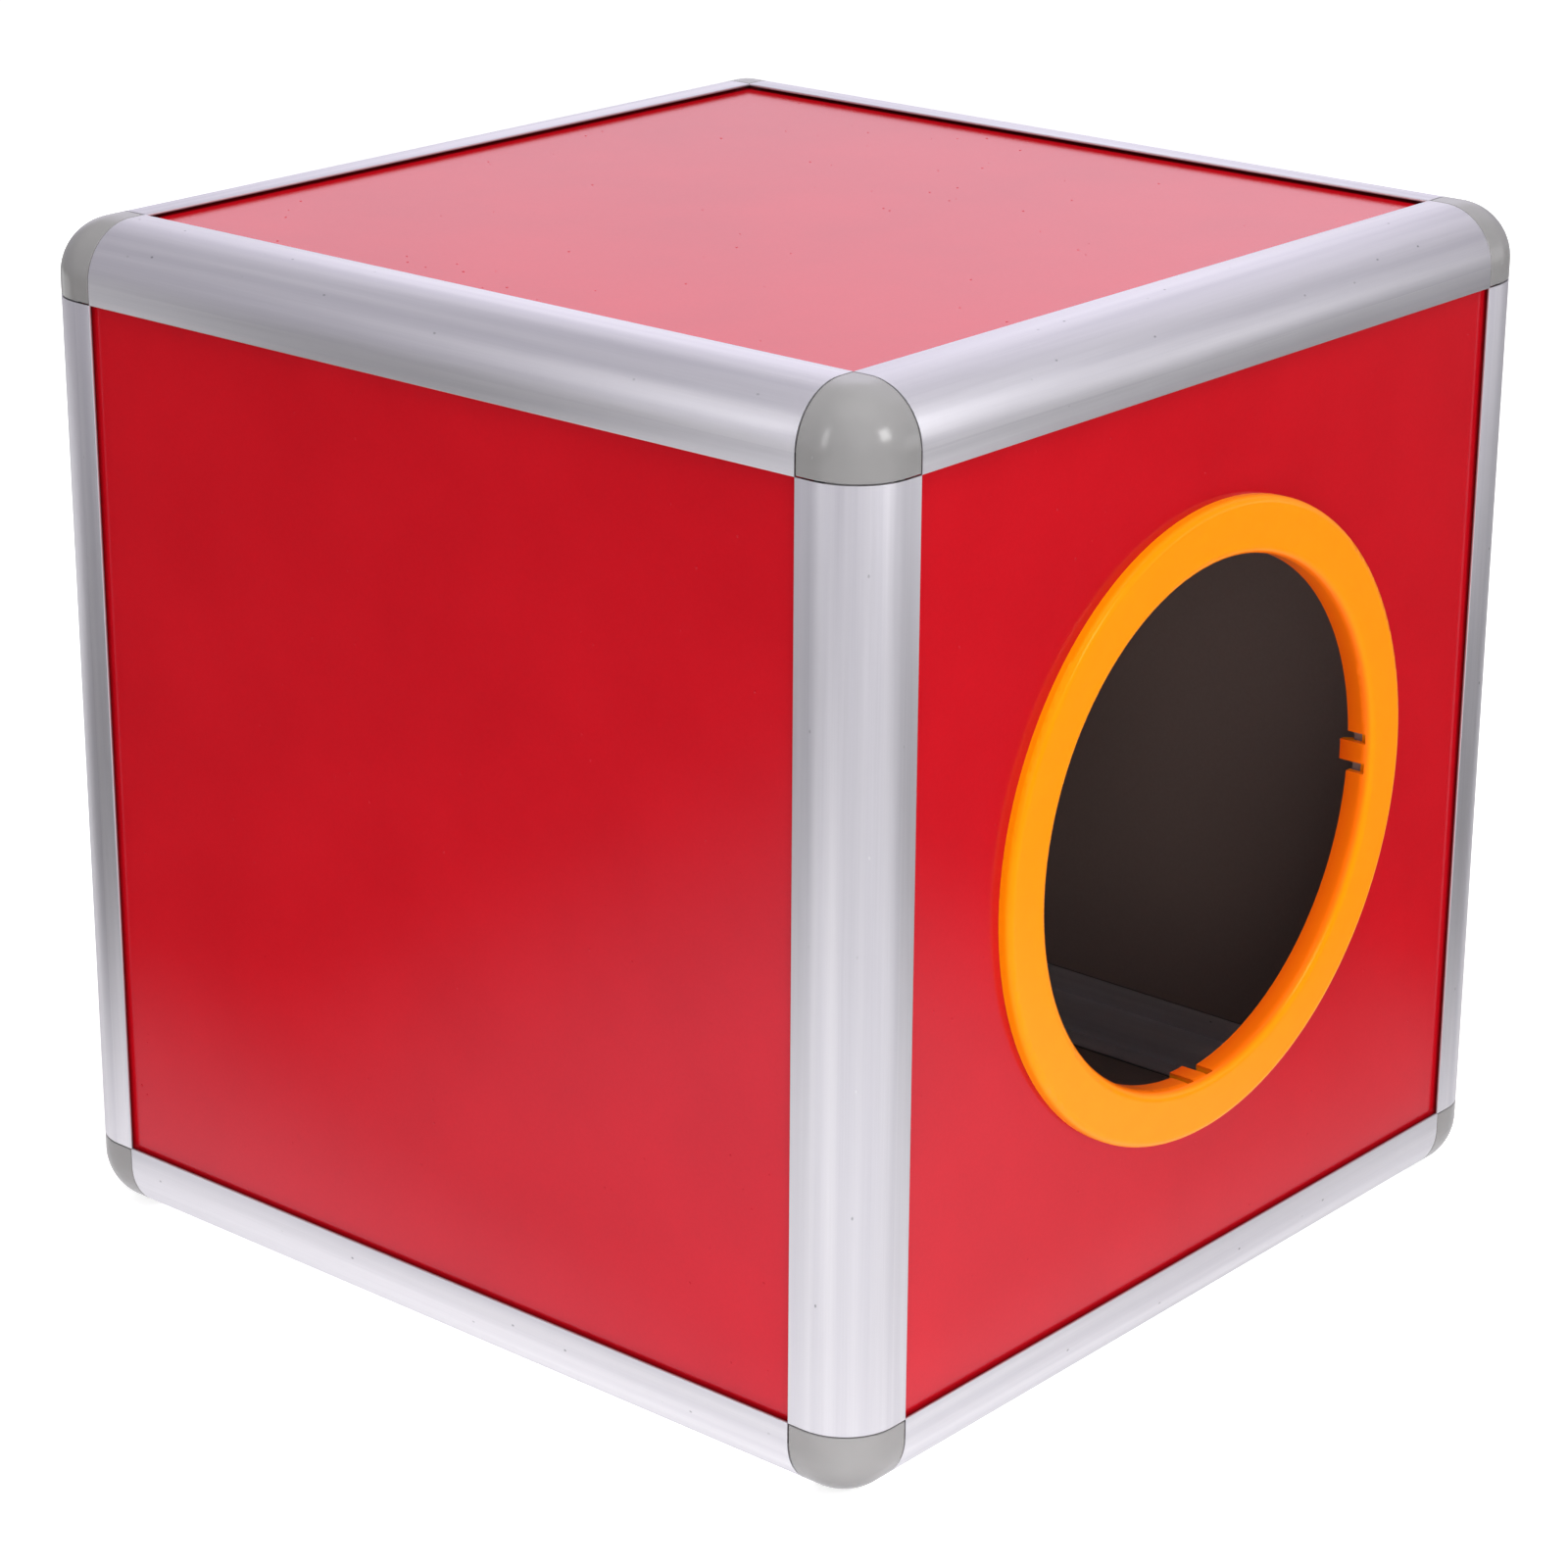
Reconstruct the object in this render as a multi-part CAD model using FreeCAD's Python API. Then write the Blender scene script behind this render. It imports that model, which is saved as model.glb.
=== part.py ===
import FreeCAD, Part
import math
import os

from FreeCAD import Vector

# A cubic lucky-draw box: twelve extruded edge profiles plugged onto eight moulded
# corners, six boards caught in the profile slots, and a snap-in hand hole ring.
# Millimetres. +Z is up, the ring faces -Y, and the origin is the centre of the
# base. Corner coordinates a, b and c, or u and v in a section, count inwards
# from the box's outer faces.

# Box
box_side = 300.0

# Edge profile, extruded aluminium
edge_radius = 16.5          # outside radius of the rounded edge
lip_flat = 5.5              # flat on each face between the rounded edge and the lip
profile_wall = 0.8
lip_edge_radius = 0.3       # rounding of the lip's free edge
web_radius = 8.5            # the web that bulges inwards between the two inner legs

# Boards
panel_thickness = 3.0
panel_engagement = 5.0      # how far a board's edge reaches in behind the lip
slot_outer_clearance = 1.0  # between the lip and a board's outer face
slot_inner_clearance = 0.1  # between a board's inner face and the inner leg
slot_bottom_clearance = 0.5

# Corner piece, moulded plastic
seam_gap = 0.4              # between a corner and the cut end of a profile
seam_edge_radius = 0.3
corner_slot_clearance = 0.2
corner_wall = 2.5           # outside skin over the coring pocket
corner_pocket_radius = 6.0
tongue_length = 25.0
tongue_clearance = 0.15
tongue_lead_in = 1.0
tongue_root = 6.0           # how far a tongue runs back into its corner

# Hand hole ring, moulded plastic
hand_hole_rise = 2.0        # centre of the hole over the board's middle
ring_bore_radius = 75.1
sleeve_wall = 2.0
sleeve_fit_clearance = 0.5
sleeve_past_board = 0.5     # how far the sleeve stands out behind the board
flange_width = 14.1         # from the sleeve's outside to the flange's rim
flange_height = 4.0
flange_wall = 1.8
flange_rim_width = 2.5
flange_edge_radius = 2.2
flange_crown = 0.1
flange_seat = 0.3           # least upright edge of the rim over the board
bore_edge_radius = 3.0
tab_count = 4
tab_width = 6.0
tab_slit = 3.0
tab_slit_past_face = 2.2    # how far a slit runs on past the board's outer face
tab_reach = 2.6             # how far a tab reaches on past the sleeve's end
tab_catch_clearance = 0.2
tab_catch_overlap = 1.2
tab_tip_set_back = 1.0      # how far the catch tapers in again towards its tip

# Worked out from the sizes above
half_side = box_side / 2
frame_reach = edge_radius + lip_flat
slot_width = slot_outer_clearance + panel_thickness + slot_inner_clearance
slot_outer = profile_wall
slot_inner = slot_outer + slot_width
leg_inner = slot_inner + profile_wall
slot_bottom = frame_reach - panel_engagement - slot_bottom_clearance
chamber_end = slot_bottom - profile_wall
panel_recess = profile_wall + slot_outer_clearance
panel_edge = frame_reach - panel_engagement
panel_side = box_side - 2 * panel_edge
corner_reach = frame_reach - seam_gap
sleeve_radius = ring_bore_radius + sleeve_wall
panel_hole_radius = sleeve_radius + sleeve_fit_clearance
flange_radius = sleeve_radius + flange_width
ring_face_y = -half_side + panel_recess
hand_hole_z = half_side + hand_hole_rise
sleeve_back = -panel_thickness - sleeve_past_board

# How far a cutting shape runs on past what it cuts, and how close two places
# have to be to count as one
overrun = 5.0
same_place = 0.001

X_AXIS = Vector(1, 0, 0)
Y_AXIS = Vector(0, 1, 0)
Z_AXIS = Vector(0, 0, 1)
BOX_CENTRE = Vector(0, 0, half_side)
FRONT_LEFT_EDGE = Vector(-half_side, -half_side, 0)


def line(start, end):
    return Part.LineSegment(start, end).toShape()


def arc(centre, radius, start_angle, end_angle):
    """An arc in the section plane, between two angles in degrees."""
    def point(angle):
        turn = math.radians(angle)
        return centre + Vector(math.cos(turn), math.sin(turn), 0) * radius
    middle = (start_angle + end_angle) / 2
    return Part.Arc(point(start_angle), point(middle), point(end_angle)).toShape()


def mirrored(edges):
    """The same edges on the other face: half a turn about the section's diagonal."""
    swapped = [edge.copy() for edge in edges]
    for edge in swapped:
        edge.rotate(Vector(0, 0, 0), Vector(1, 1, 0), 180)
    return swapped


def face_from(edges):
    return Part.Face(Part.Wire(Part.sortEdges(edges)[0]))


def place(shape, turns):
    """Turn a shape about the box's centre by (axis, quarter turns) pairs."""
    placed = shape.copy()
    for axis, quarters in turns:
        placed.rotate(BOX_CENTRE, axis, 90 * quarters)
    return placed


def save(shape, node):
    if not shape.isValid():
        raise ValueError(node + " is not a valid shape")
    shape.exportStep("parts/" + node + ".step")
    print("%-26s %d solid(s) %12.1f mm3" % (node, len(shape.Solids), shape.Volume))


def profile_outline():
    """Outside of the profile's section: rounded edge, two lips and two slots."""
    round_centre = Vector(edge_radius, edge_radius, 0)
    web_centre = Vector(leg_inner, leg_inner, 0)
    lip_centre = Vector(frame_reach - lip_edge_radius, lip_edge_radius, 0)
    half = [
        line(Vector(edge_radius, 0, 0), Vector(lip_centre.x, 0, 0)),
        arc(lip_centre, lip_edge_radius, -90, 0),
        line(Vector(frame_reach, lip_edge_radius, 0), Vector(frame_reach, slot_outer, 0)),
        line(Vector(frame_reach, slot_outer, 0), Vector(slot_bottom, slot_outer, 0)),
        line(Vector(slot_bottom, slot_outer, 0), Vector(slot_bottom, slot_inner, 0)),
        line(Vector(slot_bottom, slot_inner, 0), Vector(frame_reach, slot_inner, 0)),
        line(Vector(frame_reach, slot_inner, 0), Vector(frame_reach, leg_inner, 0)),
        line(Vector(frame_reach, leg_inner, 0), Vector(leg_inner + web_radius, leg_inner, 0)),
    ]
    rounded_edge = arc(round_centre, edge_radius, 180, 270)
    web = arc(web_centre, web_radius, 0, 90)
    return face_from(half + mirrored(half) + [rounded_edge, web])


def inside_arc(radius, end):
    """The arc inside the rounded edge, cut off where u or v reaches end.

    Returns the arc and the other coordinate of its two ends.
    """
    sweep = math.degrees(math.asin((edge_radius - end) / radius))
    centre = Vector(edge_radius, edge_radius, 0)
    meet = edge_radius - radius * math.cos(math.radians(sweep))
    return arc(centre, radius, 180 + sweep, 270 - sweep), meet


def chamber_outline():
    """Section of the profile's hollow, which leaves an even wall all round."""
    inner_radius = web_radius - profile_wall
    waist = leg_inner + inner_radius
    rounded_edge, meet = inside_arc(edge_radius - profile_wall, chamber_end)
    web = arc(Vector(leg_inner, leg_inner, 0), inner_radius, 0, 90)
    half = [
        line(Vector(chamber_end, meet, 0), Vector(chamber_end, slot_inner, 0)),
        line(Vector(chamber_end, slot_inner, 0), Vector(waist, slot_inner, 0)),
        line(Vector(waist, slot_inner, 0), Vector(waist, leg_inner, 0)),
    ]
    return face_from(half + mirrored(half) + [rounded_edge, web])


def tongue_outline():
    """Section of a corner's tongue, which fits between the hollow's two arcs."""
    inner_radius = web_radius - profile_wall - tongue_clearance
    waist = leg_inner + inner_radius
    rounded_edge, meet = inside_arc(edge_radius - profile_wall - tongue_clearance, waist)
    web = arc(Vector(leg_inner, leg_inner, 0), inner_radius, 0, 90)
    half = [line(Vector(waist, meet, 0), Vector(waist, leg_inner, 0))]
    return face_from(half + mirrored(half) + [rounded_edge, web])


def edge_profile():
    """The front left upright: one straight length of hollow extrusion."""
    section = profile_outline().cut(chamber_outline())
    length = box_side - 2 * frame_reach
    profile = section.extrude(Vector(0, 0, length)).Solids[0]
    profile.translate(FRONT_LEFT_EDGE + Vector(0, 0, frame_reach))
    return profile


def corner_block():
    """The rounded outside of a corner, cut square at its three seams."""
    cube = Part.makeBox(box_side, box_side, box_side)
    rounded = cube.makeFillet(edge_radius, cube.Edges)
    block = rounded.common(Part.makeBox(corner_reach, corner_reach, corner_reach))
    seams = [edge for edge in block.Edges if on_one_seam(edge)]
    return block.makeFillet(seam_edge_radius, seams)


def on_one_seam(edge):
    """True for an edge between the corner's outside and one seam face."""
    middle = edge.valueAt((edge.FirstParameter + edge.LastParameter) / 2)
    at_seam = [abs(value - corner_reach) < same_place for value in middle]
    return sum(at_seam) == 1


def turned_about_diagonal(shape, step):
    """Step a shape round the corner's diagonal, from one edge to the next."""
    turned = shape.copy()
    turned.rotate(Vector(0, 0, 0), Vector(1, 1, 1), 120 * step)
    return turned


def corner_hollow():
    """The space inside the corner: square to the boards, bulged over the edges."""
    size = corner_reach + overrun
    hollow = Part.makeBox(size, size, size, Vector(leg_inner, leg_inner, leg_inner))
    bulge = Part.makeCylinder(web_radius, size, Vector(leg_inner, leg_inner, leg_inner))
    for step in range(3):
        hollow = hollow.cut(turned_about_diagonal(bulge, step))
    return hollow


def corner_pocket():
    """Coring along the diagonal, which leaves an even skin outside."""
    centre = Vector(edge_radius, edge_radius, edge_radius)
    ball = Part.makeSphere(edge_radius - corner_wall, centre)
    bore = Part.makeCylinder(corner_pocket_radius, 2 * corner_reach, Vector(0, 0, 0), Vector(1, 1, 1))
    return ball.common(bore)


def corner_slot():
    """Room for the corner of the board on the face where c is the depth."""
    start = panel_edge - corner_slot_clearance
    size = corner_reach + overrun - start
    return Part.makeBox(size, size, slot_width, Vector(start, start, slot_outer))


def corner_tongue():
    """The spigot along c that plugs into a profile's hollow."""
    length = tongue_root + seam_gap + tongue_length
    tongue = tongue_outline().extrude(Vector(0, 0, length)).Solids[0]
    tip = [edge for edge in tongue.Edges if edge.BoundBox.ZMin > length - same_place]
    tongue = tongue.makeChamfer(tongue_lead_in, tip)
    tongue.translate(Vector(0, 0, corner_reach - tongue_root))
    return tongue


def corner_piece():
    """The bottom front left corner."""
    corner = corner_block().cut(corner_hollow()).cut(corner_pocket())
    for step in range(3):
        corner = corner.cut(turned_about_diagonal(corner_slot(), step))
    for step in range(3):
        corner = corner.fuse(turned_about_diagonal(corner_tongue(), step))
    corner = corner.removeSplitter().Solids[0]
    corner.translate(FRONT_LEFT_EDGE)
    return corner


def board():
    """The plain front board."""
    corner = Vector(-panel_side / 2, ring_face_y, panel_edge)
    return Part.makeBox(panel_side, panel_thickness, panel_side, corner)


def board_with_hand_hole():
    start = Vector(0, ring_face_y - overrun, hand_hole_z)
    hole = Part.makeCylinder(panel_hole_radius, panel_thickness + 2 * overrun, start, Y_AXIS)
    return board().cut(hole)


def ring_body():
    """Flange and sleeve, turned about the hole's axis.

    Drawn with the radius along X and the height over the board's face along Y.
    """
    rim_height = flange_height - flange_crown
    rim_radius = min(flange_edge_radius, rim_height - flange_seat)
    rim_centre = Vector(flange_radius - rim_radius, rim_height - rim_radius, 0)
    lip_centre = Vector(ring_bore_radius + bore_edge_radius, flange_height - bore_edge_radius, 0)
    crown_start = Vector(lip_centre.x, flange_height, 0)
    crown_end = Vector(rim_centre.x, rim_height, 0)
    crown_middle = (crown_start + crown_end) / 2 + Vector(0, flange_crown / 2, 0)
    groove_outer = flange_radius - flange_rim_width
    groove_inner = sleeve_radius + flange_rim_width
    groove_height = rim_height - flange_wall
    edges = [
        line(Vector(flange_radius, 0, 0), Vector(flange_radius, rim_centre.y, 0)),
        arc(rim_centre, rim_radius, 0, 90),
        Part.Arc(crown_end, crown_middle, crown_start).toShape(),
        arc(lip_centre, bore_edge_radius, 90, 180),
        line(Vector(ring_bore_radius, lip_centre.y, 0), Vector(ring_bore_radius, sleeve_back, 0)),
        line(Vector(ring_bore_radius, sleeve_back, 0), Vector(sleeve_radius, sleeve_back, 0)),
        line(Vector(sleeve_radius, sleeve_back, 0), Vector(sleeve_radius, 0, 0)),
        line(Vector(sleeve_radius, 0, 0), Vector(groove_inner, 0, 0)),
        line(Vector(groove_inner, 0, 0), Vector(groove_inner, groove_height, 0)),
        line(Vector(groove_inner, groove_height, 0), Vector(groove_outer, groove_height, 0)),
        line(Vector(groove_outer, groove_height, 0), Vector(groove_outer, 0, 0)),
        line(Vector(groove_outer, 0, 0), Vector(flange_radius, 0, 0)),
    ]
    return face_from(edges).revolve(Vector(0, 0, 0), Y_AXIS, 360).Solids[0]


def ring_slits():
    """The two slits that free one tab from the sleeve."""
    width = tab_width + 2 * tab_slit
    depth = tab_slit_past_face - sleeve_back + overrun
    start = Vector(ring_bore_radius - overrun, sleeve_back - overrun, 0)
    reach = overrun + sleeve_wall
    window = Part.makeBox(reach, depth, width, start - Z_AXIS * (width / 2))
    tab = Part.makeBox(reach, depth, tab_width, start - Z_AXIS * (tab_width / 2))
    sleeve = Part.makeCylinder(sleeve_radius, 2 * depth, Vector(0, -depth, 0), Y_AXIS)
    return window.cut(tab).common(sleeve)


def ring_catch():
    """The end of one snap tab: its catch outside, and its tip past the sleeve."""
    catch_top = -panel_thickness - tab_catch_clearance
    tip = sleeve_back - tab_reach
    catch_radius = panel_hole_radius + tab_catch_overlap
    corners = [
        Vector(ring_bore_radius, catch_top, 0),
        Vector(catch_radius, catch_top, 0),
        Vector(panel_hole_radius - tab_tip_set_back, tip, 0),
        Vector(ring_bore_radius, tip, 0),
    ]
    edges = [line(corners[k - 1], corners[k]) for k in range(len(corners))]
    full_turn = face_from(edges).revolve(Vector(0, 0, 0), Y_AXIS, 360)
    start = Vector(0, tip - overrun, -tab_width / 2)
    return full_turn.common(Part.makeBox(catch_radius + overrun, 2 * overrun - tip, tab_width, start))


def hand_hole_ring():
    ring = ring_body()
    for step in range(tab_count):
        slits = ring_slits()
        slits.rotate(Vector(0, 0, 0), Y_AXIS, step * 360 / tab_count)
        ring = ring.cut(slits)
    for step in range(tab_count):
        catch = ring_catch()
        catch.rotate(Vector(0, 0, 0), Y_AXIS, step * 360 / tab_count)
        ring = ring.fuse(catch)
    ring = ring.removeSplitter().Solids[0]
    ring.rotate(Vector(0, 0, 0), Z_AXIS, 180)
    ring.translate(Vector(0, ring_face_y, hand_hole_z))
    return ring


def build_profiles():
    upright = edge_profile()
    across = place(upright, [(Y_AXIS, 1)])
    lengthwise = place(upright, [(X_AXIS, 1)])
    for quarters, corner in enumerate(["front_left", "front_right", "back_right", "back_left"]):
        save(place(upright, [(Z_AXIS, quarters)]), "profile_upright_" + corner)
    for quarters, edge in enumerate(["top_front", "bottom_front", "bottom_back", "top_back"]):
        save(place(across, [(X_AXIS, quarters)]), "profile_" + edge)
    for quarters, edge in enumerate(["bottom_left", "top_left", "top_right", "bottom_right"]):
        save(place(lengthwise, [(Y_AXIS, quarters)]), "profile_" + edge)


def build_corners():
    bottom = corner_piece()
    top = place(bottom, [(Y_AXIS, 1)])
    for quarters, corner in enumerate(["front_left", "front_right", "back_right", "back_left"]):
        save(place(bottom, [(Z_AXIS, quarters)]), "corner_bottom_" + corner)
        save(place(top, [(Z_AXIS, quarters)]), "corner_top_" + corner)


def build_panels():
    save(board_with_hand_hole(), "panel_front")
    for quarters, side in enumerate(["right", "back", "left"], 1):
        save(place(board(), [(Z_AXIS, quarters)]), "panel_" + side)
    save(place(board(), [(X_AXIS, 1)]), "panel_bottom")
    save(place(board(), [(X_AXIS, -1)]), "panel_top")


os.makedirs("parts", exist_ok=True)
build_profiles()
build_corners()
build_panels()
save(hand_hole_ring(), "hand_hole_ring")
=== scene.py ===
import math

import bmesh
import bpy
from mathutils import Matrix, Vector


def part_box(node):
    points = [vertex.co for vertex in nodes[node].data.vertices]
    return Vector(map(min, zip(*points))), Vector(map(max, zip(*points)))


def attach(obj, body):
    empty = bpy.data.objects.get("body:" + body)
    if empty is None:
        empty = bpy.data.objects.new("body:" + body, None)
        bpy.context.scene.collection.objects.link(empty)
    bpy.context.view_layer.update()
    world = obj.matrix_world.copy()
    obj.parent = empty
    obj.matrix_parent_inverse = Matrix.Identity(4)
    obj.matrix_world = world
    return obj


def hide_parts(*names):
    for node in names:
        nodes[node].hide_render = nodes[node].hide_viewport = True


# A cubic lucky-draw box: boards in an aluminium edge frame, plugged together with eight
# moulded corners, and a hand hole with a snap-in ring. Sizes are in metres.
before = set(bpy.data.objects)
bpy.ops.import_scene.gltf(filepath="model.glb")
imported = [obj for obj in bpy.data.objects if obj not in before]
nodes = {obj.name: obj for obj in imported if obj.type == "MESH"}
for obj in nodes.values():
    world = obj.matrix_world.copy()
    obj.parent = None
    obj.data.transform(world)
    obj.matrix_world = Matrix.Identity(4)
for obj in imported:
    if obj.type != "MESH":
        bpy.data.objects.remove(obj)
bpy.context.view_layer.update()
mm = 0.001


# ---------------------------------------------------------------- edge profiles
# Twelve lengths of extruded aluminium, sawn square, matt etched and clear anodised. Each
# is one hollow section with a rounded outside and a slot behind each lip for a board, and
# is plugged onto the tongues of two corners.

profile_low, profile_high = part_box("profile_bottom_front")
frame_reach = profile_high.z - profile_low.z
profile_length = profile_high.x - profile_low.x
box_centre = Vector((0, 0, frame_reach + profile_length / 2))
half_side = box_centre.z
quarter = math.radians(90)

# Depths in the section are measured from the two outer faces that meet at the box's edge.
edge_radius = 16.5 * mm
profile_wall = 0.8 * mm
lip_edge_radius = 0.3 * mm
slot_outer = profile_wall
slot_inner = 4.9 * mm
slot_bottom = 16.5 * mm
leg_inner = slot_inner + profile_wall
chamber_end = slot_bottom - profile_wall
web_radius = 8.5 * mm           # the web behind the hollow bulges into the box
sawn_edge_break = 0.12 * mm     # what deburring takes off a sawn end


def linear(colour):
    """An sRGB colour written as six hex digits, as linear RGBA."""
    def channel(value):
        return value / 12.92 if value <= 0.04045 else ((value + 0.055) / 1.055) ** 2.4
    red, green, blue = (int(colour[k:k + 2], 16) / 255 for k in (0, 2, 4))
    return channel(red), channel(green), channel(blue), 1.0


# A Mix node's inputs are 0 for the share, 2 and 3 for plain values, and 6 and 7 for
# colours. Its output 2 is the colour.
def add(tree, kind, inputs=None, **settings):
    """Add a node with its settings. An input is set, or linked if its value is an output."""
    node = tree.nodes.new(kind)
    for name, value in settings.items():
        setattr(node, name, value)
    for name, value in (inputs or {}).items():
        if isinstance(value, bpy.types.NodeSocket):
            tree.links.new(value, node.inputs[name])
        else:
            node.inputs[name].default_value = value
    return node


def new_material(name):
    """A material whose tree is still empty, and that tree."""
    material = bpy.data.materials.new(name)
    material.use_nodes = True
    material.node_tree.nodes.clear()
    return material, material.node_tree


# Clear anodised aluminium, matt etched: soft satin greys, with die lines along the length,
# slow cloudy bands where the etch took unevenly, and a few small dents from handling, some
# darker and some brighter than the rest. The slots are painted a dark brown, as painted
# shade in the gap behind each lip. The pattern lies on "drawn": metres round the section,
# metres along it, and a number for each length, so that no two are alike.
anodised, tree = new_material("anodised_aluminium_extrusion")
die_line_spacing = 0.5 * mm     # real die lines are finer; these are as coarse as shows
die_line_length = 45 * mm
band_width = 4 * mm
band_length = 260 * mm
mark_gap_round = 13 * mm
mark_gap_along = 21 * mm
unmarked_share = 0.6
dent_core = 0.012               # as shares of the gaps, so a dent is about 1 mm across
dent_rim = 0.03
drawn = add(tree, "ShaderNodeAttribute", attribute_name="drawn")
lines_at = add(tree, "ShaderNodeMapping", {"Vector": drawn.outputs["Vector"],
               "Scale": (1 / die_line_spacing, 1 / die_line_length, 1)})
die_lines = add(tree, "ShaderNodeTexNoise", {"Vector": lines_at.outputs[0], "Scale": 1,
                "Detail": 3, "Roughness": 0.6})
bands_at = add(tree, "ShaderNodeMapping", {"Vector": drawn.outputs["Vector"],
               "Scale": (1 / band_width, 1 / band_length, 1)})
bands = add(tree, "ShaderNodeTexNoise", {"Vector": bands_at.outputs[0], "Scale": 1,
            "Detail": 1})
etched = add(tree, "ShaderNodeMix", {0: bands.outputs["Fac"], 6: linear("d7d5dc"),
             7: linear("f9f7fa")}, data_type="RGBA")
line_tone = add(tree, "ShaderNodeMapRange", {"Value": die_lines.outputs["Fac"],
                "From Min": 0.3, "From Max": 0.7, "To Min": 0.975, "To Max": 1.02})
lined = add(tree, "ShaderNodeVectorMath", {0: etched.outputs[2], 1: line_tone.outputs[0]},
            operation="MULTIPLY")
marks_at = add(tree, "ShaderNodeMapping", {"Vector": drawn.outputs["Vector"],
               "Scale": (1 / mark_gap_round, 1 / mark_gap_along, 1)})
lying = add(tree, "ShaderNodeSeparateXYZ", {0: marks_at.outputs[0]})
shifted = add(tree, "ShaderNodeMath", {0: lying.outputs["Y"], 1: lying.outputs["Z"]},
              operation="ADD")
spread = add(tree, "ShaderNodeCombineXYZ", {"X": lying.outputs["X"],
             "Y": shifted.outputs[0]})
marks = add(tree, "ShaderNodeTexVoronoi", {"Vector": spread.outputs[0], "Scale": 1},
            voronoi_dimensions="2D")
chances = add(tree, "ShaderNodeSeparateColor", {0: marks.outputs["Color"]})
struck = add(tree, "ShaderNodeMath", {0: chances.outputs[0], 1: unmarked_share},
             operation="GREATER_THAN")
dimple = add(tree, "ShaderNodeMapRange", {"Value": marks.outputs["Distance"],
             "From Min": dent_core, "From Max": dent_rim, "To Min": 0.8, "To Max": 0.0})
dented = add(tree, "ShaderNodeMath", {0: dimple.outputs[0], 1: struck.outputs[0]},
             operation="MULTIPLY")
scuffs = add(tree, "ShaderNodeMix", {0: chances.outputs[1], 6: linear("8a888e"),
             7: linear("f6f5f8")}, data_type="RGBA")
marked = add(tree, "ShaderNodeMix", {0: dented.outputs[0], 6: lined.outputs[0],
             7: scuffs.outputs[2]}, data_type="RGBA")
# Painted shade: every point in a slot gets a dark brown in place of the metal's colour.
in_slot = add(tree, "ShaderNodeAttribute", attribute_name="slot")
slot_painted_shade = add(tree, "ShaderNodeMix", {0: in_slot.outputs["Fac"], 6: marked.outputs[2],
           7: linear("3a2a2c")}, data_type="RGBA")
roughness = add(tree, "ShaderNodeMapRange", {"Value": die_lines.outputs["Fac"],
                "From Min": 0.3, "From Max": 0.7, "To Min": 0.44, "To Max": 0.50})
dents = add(tree, "ShaderNodeBump", {"Height": dented.outputs[0], "Strength": 0.6,
            "Distance": 0.1 * mm}, invert=True)
relief = add(tree, "ShaderNodeBump", {"Height": die_lines.outputs["Fac"],
             "Strength": 0.15, "Distance": 0.02 * mm, "Normal": dents.outputs[0]})
shader = add(tree, "ShaderNodeBsdfPrincipled", {"Base Color": slot_painted_shade.outputs[2],
             "Metallic": 0.85, "Roughness": roughness.outputs[0],
             "Normal": relief.outputs[0]})
add(tree, "ShaderNodeOutputMaterial", {"Surface": shader.outputs[0]})


def arc(centre, radius, start, end, steps):
    """Points of an arc in the section plane, between two angles in degrees."""
    angles = [math.radians(start + (end - start) * k / steps) for k in range(steps + 1)]
    return [centre + radius * Vector((math.cos(angle), math.sin(angle)))
            for angle in angles]


def swapped(points):
    """The same points on the other face, in the opposite order: u and v change places."""
    return [Vector((point.y, point.x)) for point in reversed(points)]


def section_loops():
    """The profile's section as two closed loops: its outside and its hollow."""
    reach, lip = frame_reach, lip_edge_radius
    round_centre = Vector((edge_radius, edge_radius))
    web_centre = Vector((leg_inner, leg_inner))
    leg = [Vector((edge_radius, 0)),
           *arc(Vector((reach - lip, lip)), lip, -90, 0, steps=6)]
    leg += [Vector(point) for point in (
        (reach, slot_outer), (slot_bottom, slot_outer), (slot_bottom, slot_inner),
        (reach, slot_inner), (reach, leg_inner), (leg_inner + web_radius, leg_inner))]
    web = arc(web_centre, web_radius, 0, 90, steps=20)[1:-1]
    rounding = arc(round_centre, edge_radius, 180, 270, steps=40)[1:-1]
    outside = leg + web + swapped(leg) + rounding

    hollow_radius = edge_radius - profile_wall
    sweep = math.degrees(math.asin((edge_radius - chamber_end) / hollow_radius))
    waist = leg_inner + web_radius - profile_wall
    skin = arc(round_centre, hollow_radius, 180 + sweep, 270 - sweep, steps=30)
    side = [Vector(point) for point in (
        (chamber_end, slot_inner), (waist, slot_inner), (waist, leg_inner))]
    web = arc(web_centre, web_radius - profile_wall, 0, 90, steps=20)[1:-1]
    return outside, skin + side + web + swapped(side)


def in_a_slot(point):
    """1 for a point of the section that lies in a slot, behind a lip's outer edge."""
    slack = 0.01 * mm
    depth, reach = sorted(point)
    behind_lip = slot_outer - slack < depth < slot_inner + slack
    return float(behind_lip and reach > slot_bottom - slack)


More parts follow.
